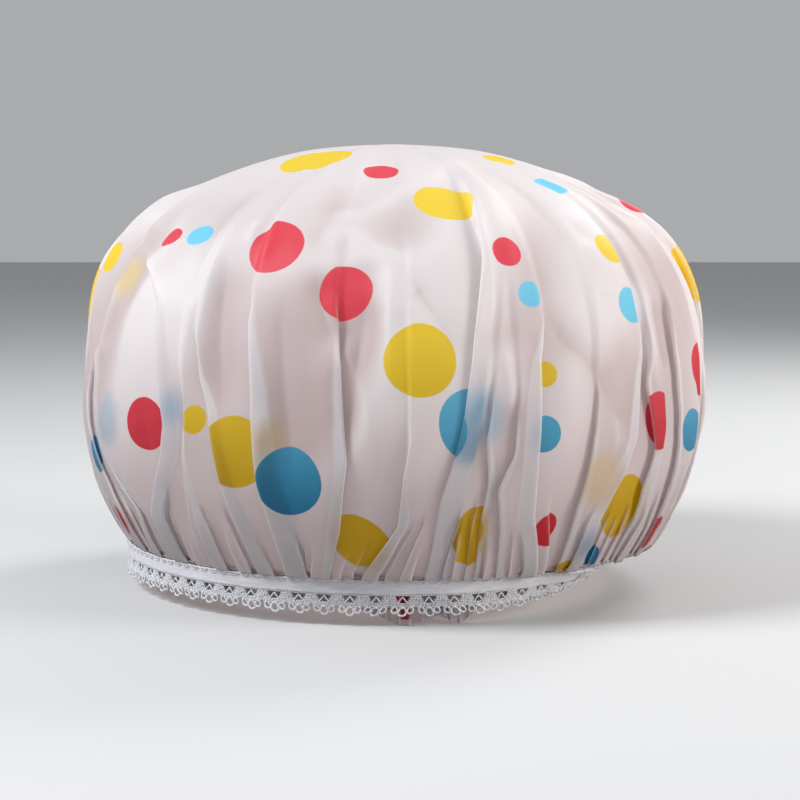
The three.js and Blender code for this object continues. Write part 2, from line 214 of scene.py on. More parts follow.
# Soft ridges and dips in the photograph: way out in mm, width in mm, points
PHOTO_CREASES = (
    (1.8, 5, ((469, 157), (420, 182), (372, 211), (307, 225))),
    (1.1, 2.2, ((262, 216), (254, 232), (246, 246))),
    (1.1, 2.2, ((282, 214), (270, 240), (258, 268))),
    (1.5, 4, ((622, 412), (617, 432), (621, 452))),
    (2.4, 7, ((197, 196), (172, 240), (140, 300), (116, 385))),
    (2.6, 9, ((240, 218), (212, 262), (192, 320), (180, 400))),
    (-3.4, 12, ((234, 236), (220, 290), (214, 350), (222, 430))),
    (-2.6, 10, ((290, 270), (278, 320), (280, 400), (296, 500))),
    (2.8, 9, ((300, 232), (352, 236), (388, 262), (402, 300), (428, 330))),
    (-3.0, 9, ((312, 262), (322, 320), (336, 360))),
    (-2.8, 9, ((372, 272), (362, 330), (352, 400), (345, 480))),
    (2.0, 6, ((338, 330), (352, 372), (372, 420), (380, 500))),
    (2.6, 8, ((430, 236), (446, 280), (462, 318), (478, 342))),
    (-2.8, 8, ((398, 262), (424, 300), (440, 322), (462, 370))),
    (2.2, 8, ((500, 330), (508, 372), (514, 420))),
    (-2.4, 9, ((542, 300), (565, 340), (600, 372), (622, 420))),
    (2.4, 8, ((618, 262), (640, 300), (651, 340), (655, 392))),
    (-2.0, 7, ((655, 290), (664, 322), (668, 372))),
    (2.0, 5, ((105, 300), (98, 345), (84, 380))),
)

# The dots in the photograph: pixel of the middle of what shows, full width in pixels, and where a fold hides
# part of the dot, the way in pixels from there to its own middle, along the film to the right
PHOTO_DOTS = {
    "red": (
        (381, 172, 36), (171, 237, 26), (272, 244, 66), (345, 295, 60), (507, 251, 34),
        (631, 207, 34, 13), (698, 369, 54, 8), (145, 424, 56), (653, 421, 58, 10), (549, 531, 35),
        (652, 533, 36), (404, 592, 56), (122, 521, 34, -6),
    ),
    "yellow": (
        (316, 160, 74), (446, 203, 66), (113, 257, 34), (609, 248, 35), (684, 275, 60, 12),
        (420, 360, 76), (551, 374, 26, -6), (197, 420, 30, -4), (233, 452, 76), (619, 507, 68, 8),
        (361, 543, 62), (472, 539, 66), (562, 571, 34), (498, 160, 34),
    ),
    "blue": (
        (550, 186, 38), (200, 235, 30), (530, 294, 29), (630, 305, 38), (289, 481, 70),
        (462, 427, 78, 14), (550, 434, 38, -6), (692, 430, 42), (590, 558, 30), (97, 455, 36),
        (505, 598, 30),
    ),
}
# Dots on the layers behind, which show through: pixel, width in pixels
PHOTO_GHOSTS = {
    "yellow": ((128, 277, 44), (602, 480, 56), (268, 440, 30)),
    "blue": ((106, 420, 54), (172, 408, 30), (488, 418, 56), (587, 546, 30)),
}
GHOST_BLUR = 5  # mm, of those dots' rims
MORE_DOTS = 44  # on film that the photograph doesn't show
MORE_DOT_RADII = (5.7, 7, 13, 14)
DOT_SPACING = 13  # between rims
DOT_TRIES = 900
RIM_STEP = 1.5  # of the places that are tried on a dot's rim, as a share of its radius
GRAZING_GAP = 12  # from film that the camera sees to film just behind it
OUTSIDE_DEPTH = -4.0  # the least that is noted of a point outside a dot
DOT_EDGE = 0.25  # soft edge of the print

# Colours, as linear red, green and blue
FILM_COLOUR = (0.86, 0.825, 0.83)
# the film's pinker tint low down, darkened by painted shade
FILM_LOW_TINT_AND_SHADE = (0.70, 0.61, 0.605)
DIP_SHADE_COLOUR = (0.76, 0.67, 0.66)  # painted shade where the film's slack dips inward
LOW_SHADE = (0.74, 0.73, 0.74)
TINT_HEIGHTS = (10, 130)  # between which the film's tint and shade change
# between which the inks' painted shade, darkest low down, fades out
INK_SHADE_HEIGHTS = (30, 150)
DOT_COLOURS = {"red": (0.84, 0.08, 0.115), "yellow": (0.95, 0.70, 0.05), "blue": (0.20, 0.70, 0.97)}
SHADED_LOW_DOT_COLOURS = {"red": (0.44, 0.012, 0.025), "yellow": (0.48, 0.29, 0.003), "blue": (0.004, 0.13, 0.26)}
# the whiter look of doubled film: its own denser tint plus a painted brightening
DOUBLED_FILM_TINT_AND_BRIGHTENING = (0.80, 0.76, 0.77)
# painted shade in the folds' valleys
VALLEY_SHADE_COLOUR = (0.66, 0.54, 0.52)
GHOST_STRENGTH = 0.4
# Painted highlights on crests and along folds' turned edges
CREST_HIGHLIGHT_STRENGTH = 0.45
EDGE_HIGHLIGHT_STRENGTH = 0.85
EDGE_HIGHLIGHT_COLOUR = (0.96, 0.93, 0.92)
FLOOR_COLOUR = (0.5, 0.5, 0.5)
WORLD_COLOUR = (0.95, 0.97, 1)
WORLD_STRENGTH = 0.42
TAPE_COLOUR = (0.60, 0.59, 0.62)
YARN_COLOUR = (0.80, 0.80, 0.83)
THREAD_COLOUR = (0.70, 0.69, 0.72)
RUBBER_COLOUR = (0.72, 0.66, 0.54)


def smooth(x):
    x = np.clip(x, 0, 1)
    return x * x * (3 - 2 * x)


def fade(value, start, end):
    return smooth((value - start) / (end - start))


def way_round(azimuth, middle):
    return (azimuth - middle + math.pi) % TURN - math.pi


def toward(angle):
    return np.array((math.cos(angle), math.sin(angle)))


def polar(points):
    return np.hypot(points[:, 0], points[:, 1]), np.arctan2(points[:, 1], points[:, 0])


def tuck_share(azimuth):
    return smooth(1 - np.abs(way_round(azimuth, TUCK_AZIMUTH)) / TUCK_SPREAD)


def band_place(azimuth, down, out):
    """Radius and height of a point of the band, measured down from its top edge and out from its face."""
    tuck = TUCK_ANGLE * tuck_share(azimuth)
    radius = BAND_RADIUS - BAND_SHIFT * np.cos(azimuth) - down * np.sin(tuck) + out * np.cos(tuck)
    height = BAND_TOP - BAND_TIP * np.cos(azimuth) - down * np.cos(tuck) - out * np.sin(tuck)
    return radius, height


def round_point(radius, azimuth, height):
    return np.stack([radius * np.cos(azimuth), radius * np.sin(azimuth), height + 0 * azimuth], axis=-1)


def band_point(tile, down, out):
    azimuth = LAP_AZIMUTH + tile * TURN / TILES_PER_TURN
    radius, height = band_place(azimuth, down, out)
    return round_point(radius, azimuth, height)


def lap_at(tile):
    return LAP_RISE * fade(tile, TILES_PER_TURN - LAP_RAMP_TILES, TILES_PER_TURN)


def trim_point(tile, down, out):
    return band_point(tile, down, out + lap_at(tile))


def photo_azimuth(x):
    """Where on the band's front a pixel across the photograph lies."""
    nearness = (CAMERA_DISTANCE - BAND_RADIUS) / CAMERA_DISTANCE
    return -math.acos((CAMERA_TARGET[0] + (x - PHOTO_SIDE / 2) * MM_PER_PIXEL * nearness) / BAND_RADIUS)


hem_lobes = [(photo_azimuth(x), half) for x, half in HEM_LOBES]
for _ in range(HIDDEN_LOBES):
    hem_lobes.append((math.radians(rng.uniform(*HIDDEN_LOBE_PLACES)), rng.uniform(*HIDDEN_LOBE_WIDTHS)))


def hem_drop(azimuth, below):
    """How far the hem is drawn up at an azimuth, for film this far below the tape."""
    lobes = 0
    for middle, half in hem_lobes:
        away = way_round(azimuth, middle) * BAND_RADIUS
        lobes = np.maximum(lobes, np.exp(-((away / half) ** 2)))
    return HEM_BUNCH * (1 - lobes) * smooth(below / (LACE_HEIGHT + HEM_BELOW_LACE))


# The crown's curve from the top down to its bulge over the band, and the film's lengths from the top
turn = np.linspace(0, math.pi / 2, 600)
low = np.linspace(0, BULGE_RISE - BAND_TO_WIDEST, 200)[1:]
low_radii = CROWN_RADIUS * (1 - (-low / LOWER_REACH) ** SIDE_SQUARENESS) ** 0.5
curve_radii = np.concatenate([CROWN_RADIUS * np.sin(turn), low_radii])
curve_lifts = np.concatenate([CROWN_RISE * np.clip(np.cos(turn), 0, 1) ** (2 / SHOULDER_SQUARENESS), low])
curve_lengths = np.concatenate([[0], np.cumsum(np.hypot(np.diff(curve_radii), np.diff(curve_lifts)))])
bulge_length = curve_lengths[-1]
neck_length = bulge_length + NECK_REACH
seam_length = neck_length + NECK
film_length = seam_length + TAPE_HEIGHT + SEAT_GAP + LACE_HEIGHT + HEM_BELOW_LACE


def crown_place(length, azimuth):
    """Radius and height of the crown, down to its bulge."""
    lift = np.interp(length, curve_lengths, curve_lifts)
    low = np.minimum(lift, 0) / BAND_TO_WIDEST
    tuck = tuck_share(azimuth)
    droop = BULGE_DROOP * fade(-low, DROOP_START_SHARE, 1) * (1 - tuck)
    height = WIDEST + lift - droop + low * (BAND_TIP * np.cos(azimuth) + TUCK_SAG * tuck)
    return np.interp(length, curve_lengths, curve_radii) + 0 * azimuth, height


def film_place(length, azimuth):
    """Radius and height of the film before it is folded."""
    if length <= bulge_length:
        return crown_place(length, azimuth)
    middle_out = FILM_OUT - GATHER_DEPTH / 2
    if length >= neck_length:
        down = length - seam_length
        return band_place(azimuth, down - hem_drop(azimuth, max(down - TAPE_HEIGHT, 0)), middle_out)
    step = 1
    start = crown_place(bulge_length, azimuth)
    before = crown_place(bulge_length - step, azimuth)
    end = band_place(azimuth, -NECK, middle_out)
    after = band_place(azimuth, -NECK + step, middle_out)
    t = (length - bulge_length) / NECK_REACH
    reach = NECK_REACH / step
    return tuple(
        (2 * t**3 - 3 * t**2 + 1) * p0 + (t**3 - 2 * t**2 + t) * (p0 - b0) * reach
        + (3 * t**2 - 2 * t**3) * p1 + (t**3 - t**2) * (a1 - p1) * reach
        for p0, b0, p1, a1 in zip(start, before, end, after)
    )


def film_normal(length, azimuth):
    near, far = (film_place(max(length + step, 0), azimuth) for step in (-NORMAL_STEP, NORMAL_STEP))
    along_radius, along_height = far[0] - near[0], far[1] - near[1]
    size = np.hypot(along_radius, along_height)
    return -along_height / size, along_radius / size


# The camera stands where the photograph was taken
aim = Vector(CAMERA_TARGET)
back = Vector((0, -math.cos(CAMERA_ELEVATION), math.sin(CAMERA_ELEVATION)))
eye = aim + CAMERA_DISTANCE * back
camera_data = bpy.data.cameras.new("camera")
camera_data.sensor_width = SENSOR
camera_data.lens = SENSOR * CAMERA_DISTANCE / (MM_PER_PIXEL * PHOTO_SIDE)
camera = bpy.data.objects.new("camera", camera_data)
bpy.context.scene.view_settings.view_transform = "Standard"
camera.location = eye * MM
camera.rotation_euler = back.to_track_quat("Z", "Y").to_euler()
bpy.context.collection.objects.link(camera)
bpy.context.scene.camera = camera


def photo_ray(x, y):
    """The direction from the camera through a pixel of the photograph."""
    turned = camera.rotation_euler.to_matrix()
    across, down = (x - PHOTO_SIDE / 2, y - PHOTO_SIDE / 2)
    return (turned @ Vector((across * MM_PER_PIXEL, -down * MM_PER_PIXEL, -CAMERA_DISTANCE))).normalized()


def mesh_object(name, points, faces):
    mesh = bpy.data.meshes.new(name)
    mesh.from_pydata([tuple(p) for p in np.asarray(points) * MM], [], [tuple(f) for f in faces])
    mesh.polygons.foreach_set("use_smooth", [True] * len(mesh.polygons))
    thing = bpy.data.objects.new(name, mesh)
    bpy.context.collection.objects.link(thing)
    return thing


def ring_faces(rings, count, first=0, closed=False):
    """The faces between rings of points, count to a ring, that are numbered on from the first."""
    near = np.arange(count)
    faces = []
    for k in range(rings if closed else rings - 1):
        low, high = first + k * count, first + (k + 1) % rings * count
        faces += [(low + a, low + b, high + b, high + a) for a, b in zip(near, np.roll(near, -1))]
    return faces


def tree_of(points, faces):
    return BVHTree.FromPolygons([tuple(p) for p in points], faces)


# Folds: where each runs round the cap, and how much film it takes up, for every ring of the film
ring_count = round(film_length / RING_STEP)
lengths = np.linspace(0, film_length, ring_count + 1)[1:]
around = np.linspace(0, TURN, 360, endpoint=False)
base_places = [film_place(length, around) for length in lengths]
ring_radii = np.array([np.mean(radius) for radius, _ in base_places])
base_points = np.concatenate([round_point(radius, around, height) for radius, height in base_places])
base_tree = tree_of(base_points, ring_faces(len(lengths), len(around)))


def photo_line(pixels):
    """A line of the photograph laid on the smooth film, as film lengths and azimuths."""
    found = []
    for x, y in pixels:
        hit, _, face, _ = base_tree.ray_cast(eye, photo_ray(x, y))
        found.append((lengths[face // len(around)] + RING_STEP / 2, math.atan2(hit.y, hit.x)))
    return np.array(found)


class Fold:
    """For every ring: where the fold's edge lies, how much film it takes and half the film in its turn."""

    def __init__(self, azimuths, side, weight, start, ramp, bend, least=LEAST_WEIGHT_SHARE):
        self.places = azimuths
        self.side = side
        self.weight = weight * (least + (1 - least) * smooth((lengths - start) / ramp))
        self.bend = bend * (1 - BAND_BEND_LOSS * fade(lengths - bulge_length, *BEND_LOSS_SPAN))


def photo_folds():
    for side, weight, pixels, *later in PHOTO_FOLDS:
        line = photo_line(pixels)
        order = np.argsort(line[:, 0])
        azimuths = np.interp(lengths, line[order, 0], line[order, 1])
        start = later[0] if later else line[order[0], 0] - FOLD_LEAD
        yield Fold(azimuths, side, weight, start, PHOTO_RAMP, HEAVY_BEND)


def hidden_folds():
    for place, side, weight in HIDDEN_FOLDS:
        wander = math.radians(rng.uniform(-HIDDEN_WANDER, HIDDEN_WANDER)) * fade(lengths, *WANDER_SPAN)
        start = rng.uniform(*HIDDEN_STARTS)
        yield Fold(math.radians(place) + wander, side, weight, start, HIDDEN_RAMP, HEAVY_BEND)


def gathers_between(left, right):
    """Small folds between two big ones, at the same share of the way from one to the other all along."""
    right_azimuths = right.places + (TURN if right.places[-1] < left.places[-1] else 0)
    room = (right_azimuths[-1] - left.places[-1]) * ring_radii[-1]
    count = max(round(room / GATHER_SPACING) - 1, 0)
    long_starts = LONG_STARTS_IN_FRONT if left in visible and right in visible else LONG_STARTS_BEHIND
    for i in range(count):
        share = (i + 1 + rng.uniform(-GATHER_WANDER, GATHER_WANDER)) / (count + 1)
        azimuths = left.places + share * (right_azimuths - left.places)
        side = rng.choice((-1, 1), p=(0.4, 0.6))
        if (i + 1) % 3 == count % 3:
            start = rng.uniform(*long_starts)
            yield Fold(azimuths, side, rng.uniform(*LONG_WEIGHTS), start, LONG_RAMP, LONG_BEND, 0)
        else:
            weight = rng.uniform(*SHORT_WEIGHTS)
            yield Fold(azimuths, side, weight, rng.uniform(*SHORT_STARTS), SHORT_RAMP, LIGHT_BEND, 0)


visible = sorted(photo_folds(), key=lambda fold: fold.places[-1])
majors = [*visible, *hidden_folds()]
folds = []
for left, right in zip(majors, majors[1:] + majors[:1]):
    folds += [left, *gathers_between(left, right)]
firmness = np.array([BIG_FOLD_FIRMNESS if fold in majors else 1 for fold in folds])
sides = np.array([fold.side for fold in folds])
# And for every ring
fold_places = np.array([fold.places for fold in folds])
fold_bends = np.array([fold.bend for fold in folds])
fold_weights = np.array([fold.weight for fold in folds])

# Turning a fold back by an angle takes up this much film for each millimetre of bend
turn_angles = np.linspace(0, FOLD_TURN, 60)
turn_way = smooth(np.linspace(0, 1, 200))
turn_takes = np.array([4 * (1 - np.cos(angle * turn_way).mean()) for angle in turn_angles])


def column_counts():
    """The mesh column at which each turn of each fold begins and ends."""
    room = np.diff(np.vstack([fold_places, fold_places[:1] + TURN]), axis=0) * ring_radii
    panel = 2 + np.round(room[:, lengths > OPEN_LENGTH].max(axis=1) / COLUMN_STEP).astype(int)
    counts = [n for between in panel for n in (TURN_POINTS, FLAT_POINTS, TURN_POINTS, between)]
    counts[-1] += -sum(counts) % THINNING[-1][1]
    return np.concatenate([[0], np.cumsum(counts)])


column_knots = column_counts()


def kept_apart(places, whole, gaps, back, ahead, rounds):
    """Places round a ring, moved back and ahead by these shares of what the gaps between them lack."""
    for _ in range(rounds):
        lacking = np.maximum(gaps - np.diff(np.append(places, places[0] + whole)), 0)
        places = places - back * lacking + np.roll(ahead * lacking, 1)
    return places


def local_shares(azimuths, weights):
    """Each fold's share of the spare film, which it takes from its own surroundings."""
    pull = weights * np.exp(-np.abs(way_round(around[:, None], azimuths)) / FOLD_PULL)
    return (pull / pull.sum(axis=1)[:, None]).mean(axis=0)


def ring_folds(ring):
    """Each fold's film position, width, turn, bend and azimuth on one ring."""
    radius, length = ring_radii[ring], lengths[ring]
    azimuths = fold_places[:, ring]
    takes = TURN * max(length - radius, 0.01) * local_shares(azimuths, fold_weights[:, ring])
    bends = fold_bends[:, ring] * (1 + SOFT_SHOULDER * fade(length, *SOFT_SHOULDER_SPAN))
    bends = bends * (0.5 + 0.5 * np.minimum(takes / (bends * turn_takes[-1]), 1))
    turns = np.interp(takes / bends, turn_takes, turn_angles)
    plateaus = np.maximum(takes - bends * turn_takes[-1], 0) / (1 - math.cos(FOLD_TURN))
    azimuths = azimuths + sides * plateaus / (2 * radius)
    azimuths = np.where(azimuths < azimuths[0] - 0.2, azimuths + TURN, azimuths)
    both_under = (sides < 0) & (np.roll(sides, -1) > 0)
    needed = (plateaus + np.roll(plateaus, -1)) / 2 * np.where(both_under, 1, 0.5) + SPAN_GAP
    ahead = YIELD * firmness / (firmness + np.roll(firmness, -1))
    azimuths = kept_apart(azimuths, TURN, needed / radius, YIELD - ahead, ahead, 60)
    spans = np.diff(azimuths) * radius + (takes[:-1] + takes[1:]) / 2
    places = np.concatenate([[0], np.cumsum(spans)])
    places += np.mean(length * azimuths - places)
    return places, plateaus + 2 * bends, turns, bends, azimuths


def fold_ring(ring):
    """Film position, azimuth, way out of the crown and nearness to a fold's turned edge, for the painted
    highlight there, for a ring's columns.
    """
    radius, length = ring_radii[ring], lengths[ring]
    places, widths, turns, bends, azimuths = ring_folds(ring)
    whole = TURN * length
    step = whole / FINE_COUNT
    first = places[0] - widths[0]
    film = first + step * np.arange(FINE_COUNT)
    angle = np.zeros(FINE_COUNT)
    for place, width, turn, bend, side in zip(places, widths, turns, bends, sides):
        low = int((place - width / 2 - bend - first) / step)
        near = np.arange(low, int((place + width / 2 + bend - first) / step) + 2)
        away = np.abs(first + step * near - place)
        angle[near % FINE_COUNT] += side * turn * smooth((width / 2 - away) / (2 * bend) + 0.5)
    forward = np.cos(angle)
    azimuth = np.concatenate([[0], np.cumsum(forward)[:-1]]) * TURN / forward.sum()
    azimuth += np.mean(azimuths - np.interp(places, film, azimuth))
    rising = np.sin(angle)
    out = np.cumsum(rising - rising.mean()) * step
    waves = np.fft.rfftfreq(FINE_COUNT, step)
    to_band = fade(length - bulge_length, *NECK_SPAN)
    levelling = LEVELLING + (NECK_LEVELLING - LEVELLING) * to_band
    limit = FOLD_LIMIT + (NECK_LIMIT - FOLD_LIMIT) * to_band
    level = np.fft.irfft(np.fft.rfft(out) * np.exp(-0.5 * (TURN * waves * levelling) ** 2), FINE_COUNT)
    out = limit * np.tanh((out - level) / limit)
    out -= FOLD_INSET * fade(length, *FOLD_INSET_SPAN) * fade(length, neck_length, bulge_length)
    out -= SHOULDER_INSET * math.prod(fade(length, *span) for span in SHOULDER_INSET_SPANS)
    # Mesh columns keep to the turns of the folds all the way down
    following = np.append(places[1:], places[0] + whole)
    room = np.minimum(following - places, np.roll(following - places, 1))
    idle = 1 - smooth(turns / FOLD_TURN * 1.6)
    edges = [widths / 2 + bends, widths / 2 - bends]
    far, near = (edge + (share * room - edge) * idle for edge, share in zip(edges, IDLE_SHARES))
    turns_at = np.stack([places - far, places - near, places + near, places + far], axis=-1).ravel()
    turns_at = kept_apart(turns_at, whole, KNOT_GAP, 0.5, 0.5, 30)
    numbers = np.arange(column_knots[-1])
    followed = np.interp(numbers, column_knots, np.append(turns_at, turns_at[0] + whole))
    even = numbers / column_knots[-1] * whole
    even += np.mean(followed - even)
    columns = even + (followed - even) * fade(length, *COLUMN_SPAN)
    columns_in = (columns - film[0]) % whole
    laps = np.floor((columns - film[0]) / whole) * TURN
    samples = np.append(film - film[0], whole)
    azimuth = np.interp(columns_in, samples, np.append(azimuth, azimuth[0] + TURN))
    out = np.interp(columns_in, samples, np.append(out, out[0]))
    # The painted highlight along each fold's turned edge
    edges_at = places + sides * (widths / 2 - bends / 2)
    strengths = smooth(turns / FOLD_TURN * 1.5 - 0.4)
    edge = np.zeros(len(columns))
    for place, strength in zip(edges_at, strengths):
        away = np.abs((columns - place + whole / 2) % whole - whole / 2)
        edge = np.maximum(edge, strength * np.exp(-((away / EDGE_HIGHLIGHT_WIDTH) ** 2)))
    return columns, azimuth + laps, out, edge


def film_mesh():
    """The folded film's points and faces, and for each point: where it lies on the flat sheet and on the
    unfolded crown, the way outward, and how near a fold's edge it is, for the painted highlight there.
    """
    points = [[0, 0, WIDEST + CROWN_RISE]]
    outward = [[0, 0, 1]]
    flat = [[0, 0]]
    over = [[0, 0]]
    turned = [0]
    rows = []
    for ring, length in enumerate(lengths):
        every = next(every for start, every in THINNING if length >= start)
        film, azimuth, out, edge = (values[::every] for values in fold_ring(ring))
        radius, height = film_place(length, azimuth)
        normal_radius, normal_height = film_normal(length, azimuth)
        rows.append(np.arange(len(film)) + len(points))
        points += list(round_point(radius + out * normal_radius, azimuth, height + out * normal_height))
        outward += list(round_point(normal_radius, azimuth, normal_height))
        turned += list(edge)
        flat += list(round_point(length, film / length, 0)[:, :2])
        over += list(round_point(length, azimuth, 0)[:, :2])
    faces = [(0, a, b) for a, b in zip(rows[0], np.roll(rows[0], -1))]
    for inner, outer in zip(rows, rows[1:]):
        ratio = len(outer) // len(inner)
        for i, a in enumerate(inner):
            b = inner[(i + 1) % len(inner)]
            low = outer[i * ratio:i * ratio + ratio + 1]
            low = np.append(low, outer[0]) if len(low) == ratio else low
            if ratio == 1:
                faces.append((a, low[0], low[1], b))
            else:
                faces += [(a, low[0], low[1]), (a, low[1], b), (b, low[1], low[2])]
    return np.array(points), faces, np.array(flat), np.array(over), np.array(outward), np.array(turned)


film_points, film_faces, film_flat, film_over, film_outward, film_edge_highlight = film_mesh()
film_tree = tree_of(film_points, film_faces)


def value_at(hit, face, values):
    """What values of the film's points come to at a place on one of its faces."""
    corners = list(film_faces[face])
    weights = poly_3d_calc([Vector(film_points[c]) for c in corners], hit)
    return np.asarray(weights) @ values[corners]


def on_film(x, y, places):
    """What a pixel of the photograph shows: its place, among the film's points' places, and its scale."""
    hit, _, face, distance = film_tree.ray_cast(eye, photo_ray(x, y))
    return value_at(hit, face, places), MM_PER_PIXEL * distance / CAMERA_DISTANCE


def seen(place):
    """True if the camera sees the film at a place of the flat sheet."""
    nearest = Vector(film_points[np.argmin(((film_flat - place) ** 2).sum(axis=1))])
    _, _, _, distance = film_tree.ray_cast(eye, (nearest - eye).normalized())
    return distance is not None and distance > (nearest - eye).length - GRAZING_GAP


def crease(line, depth, width):
    """A soft crease along a line of the unfolded crown: how far it lifts each of the film's points."""
    steps = np.hypot(*np.diff(line, axis=0).T)
    way = np.concatenate([[0], np.cumsum(steps)])
    nearest = np.full(len(film_over), np.inf)
    share = np.zeros(len(film_over))
    for a, b, before, step in zip(line, line[1:], way, steps):
        along = np.clip((film_over - a) @ (b - a) / step**2, 0, 1)
        away = np.hypot(*(film_over - a - along[:, None] * (b - a)).T)
        closer = away < nearest
        nearest[closer] = away[closer]
        share[closer] = (before + along[closer] * step) / way[-1]
    rounded = np.hypot(nearest, CREASE_ROUNDING) - CREASE_ROUNDING
    taper = smooth(share / CREASE_TAPER_SHARE) * smooth((1 - share) / CREASE_TAPER_SHARE)
    return depth * np.exp(-rounded / width) * taper


def crumpled():
    """How far lumps and creases lift each of the film's points."""
    length, azimuth = polar(film_over)
    lift = np.zeros(len(film_over))
    for _ in range(LUMP_WAVES):
        waves, along = rng.integers(*LUMP_WAVES_ROUND), rng.uniform(*LUMP_WAVE_LENGTHS)
        lift += np.cos(waves * azimuth + TURN * length / along + rng.uniform(0, TURN))
    lift = (lift / 3 - 0.4) * LUMP_DEPTH * math.prod(fade(length, *span) for span in LUMP_SPANS)
    for depth, width, pixels in PHOTO_CREASES:
        lift += crease(np.array([on_film(x, y, film_over)[0] for x, y in pixels]), depth, width)
    for _ in range(CREASE_COUNT):
        turn, start = rng.uniform(0, TURN), rng.uniform(*CREASE_STARTS)
        heading = turn + rng.normal(0, CREASE_SLANT)
        reach = rng.uniform(*CREASE_REACHES)
        ahead = toward(heading)
        first = start * toward(turn)
        bow = rng.uniform(-CREASE_BOW, CREASE_BOW) * reach * np.array((-ahead[1], ahead[0]))
        line = np.array([first, first + ahead * reach / 2 + bow, first + ahead * reach])
        depth = rng.choice((-0.6, 1)) * rng.uniform(0.3, 1) * CREASE_DEPTH
        lift += crease(line, depth, CREASE_WIDTH * rng.uniform(0.5, 1.3))
    return np.where(lift > 0, LIFT_LIMIT * np.tanh(lift / LIFT_LIMIT), lift)


def over_band(points):
    """Points of the free film, lifted where they would hang in front of the tape."""
    free = np.hypot(*film_flat.T) < neck_length
    radius, azimuth = polar(points)
    tuck = TUCK_ANGLE * tuck_share(azimuth)
    top_radius, top_height = band_place(azimuth, 0, 0)
    across, up = radius - top_radius, points[:, 2] - top_height
    down = -across * np.sin(tuck) - up * np.cos(tuck)
    out = across * np.cos(tuck) - up * np.sin(tuck)
    hanging = free & (out > FILM_OUT) & (down > -COVER_GAP)
    radius, height = band_place(azimuth, np.where(hanging, -COVER_GAP, down), out)
    return round_point(radius, azimuth, height)


film_slack = crumpled()
film_points += film_outward * film_slack[:, None]
film_points = over_band(film_points)
film_points[:, 2] = np.maximum(film_points[:, 2], FLOOR_GAP)
film = mesh_object("film", film_points, film_faces)
film_tree = tree_of(film_points, film_faces)


def point_values(name, values):
    film.data.attributes.new(name, "FLOAT", "POINT").data.foreach_set("value", values)


def dots():
    """The dots, as (colour, place, radius) on the flat film."""
    placed = []
    for colour, entries in PHOTO_DOTS.items():
        for x, y, width, *shift in entries:
            place, scale = on_film(x, y, film_flat)
            length = np.hypot(*place)
            azimuth = math.atan2(place[1], place[0]) + sum(shift) * scale / length
            placed.append((colour, length * toward(azimuth), width * scale / 2))
    goal = len(placed) + MORE_DOTS
    rim = RIM_STEP * np.array([toward(angle) for angle in np.linspace(0, TURN, 13)])
    for _ in range(DOT_TRIES):
        if len(placed) == goal:
            break
        radius = rng.choice(MORE_DOT_RADII)
        turn = rng.uniform(0, TURN)
        place = film_length * math.sqrt(rng.uniform(0, 1)) * toward(turn)
        colour = rng.choice(list(PHOTO_DOTS))
        clear = all(np.hypot(*(place - p)) > radius + r + DOT_SPACING for _, p, r in placed)
        if clear and not any(seen(place + radius * way) for way in rim):
            placed.append((colour, place, radius))
    return placed


film_dots = dots()
dot_depths = {}
for colour in PHOTO_DOTS:
    inside = np.full(len(film_points), OUTSIDE_DEPTH)
    for dot_colour, place, radius in film_dots:
        if dot_colour == colour:
            inside = np.maximum(inside, radius - np.hypot(*(film_flat - place).T))
    dot_depths[colour] = inside
    point_values(colour, inside)
film_edges = np.array([edge.vertices[:] for edge in film.data.edges])


def evened(values, rounds):
    """Values of the film's points, evened out over their neighbours."""
    counts = np.bincount(film_edges.ravel(), minlength=len(values))
    for _ in range(rounds):
        sums = np.bincount(film_edges[:, 0], values[film_edges[:, 1]], len(values))
        sums += np.bincount(film_edges[:, 1], values[film_edges[:, 0]], len(values))
        values = (values + sums / counts) / 2
    return values


def neighbour_relief():
    """How sharply the film is bent outward at each of its points, from -1 in a valley to 1 on a crest."""
    reach = np.zeros(len(film_points))
    rise = np.zeros(len(film_points))
    for here, there in (film_edges.T, film_edges.T[::-1]):
        way = film_points[there] - film_points[here]
        np.add.at(rise, here, -(way * film_outward[here]).sum(axis=1))
        np.add.at(reach, here, np.linalg.norm(way, axis=1))
    return np.clip(rise / reach * 1.6, -1, 1)


def under_layers():
    """How much film lies close behind each point, and how much of each colour shows through from it."""
    backing = np.zeros(len(film_points))
    ghosts = {colour: np.zeros(len(film_points)) for colour in PHOTO_DOTS}
    for index, (point, outward) in enumerate(zip(film_points, film_outward)):
        inward = Vector(-outward)
        start, depth, share = Vector(point) + LAYER_STEP * inward, LAYER_STEP, 1.0
        for _ in range(GHOST_LAYERS):
            hit, _, face, distance = film_tree.ray_cast(start, inward, GHOST_REACH)
            if hit is None:
                break
            depth += distance
            near = share * math.exp(-depth / GHOST_REACH)
            backing[index] += near
            blur = 0.6 + 0.5 * depth
            for colour in PHOTO_DOTS:
                inside = value_at(hit, face, dot_depths[colour])
                ghosts[colour][index] += near * fade(inside, -blur, blur)
            start, share = hit + LAYER_STEP * inward, share * 0.6
            depth += LAYER_STEP
    return backing, ghosts


def ghost_dots(colour):
    """How much shows through of the photograph's dots of a colour that lie on layers behind."""
    strength = np.zeros(len(film_points))
    for x, y, width in PHOTO_GHOSTS.get(colour, ()):
        place, scale = on_film(x, y, film_flat)
        inside = width * scale / 2 - np.hypot(*(film_flat - place).T)
        strength = np.maximum(strength, fade(inside, -GHOST_BLUR, GHOST_BLUR))
    return strength


backing, ghosts = under_layers()
point_values("backing", evened(backing, 6))
point_values("relief", neighbour_relief())
# turned: the painted highlight along the folds' turned edges
point_values("turned", film_edge_highlight)
point_values("slack", film_slack)
for colour, values in ghosts.items():
    point_values(f"{colour}_behind", np.maximum(evened(values, 4), ghost_dots(colour)))


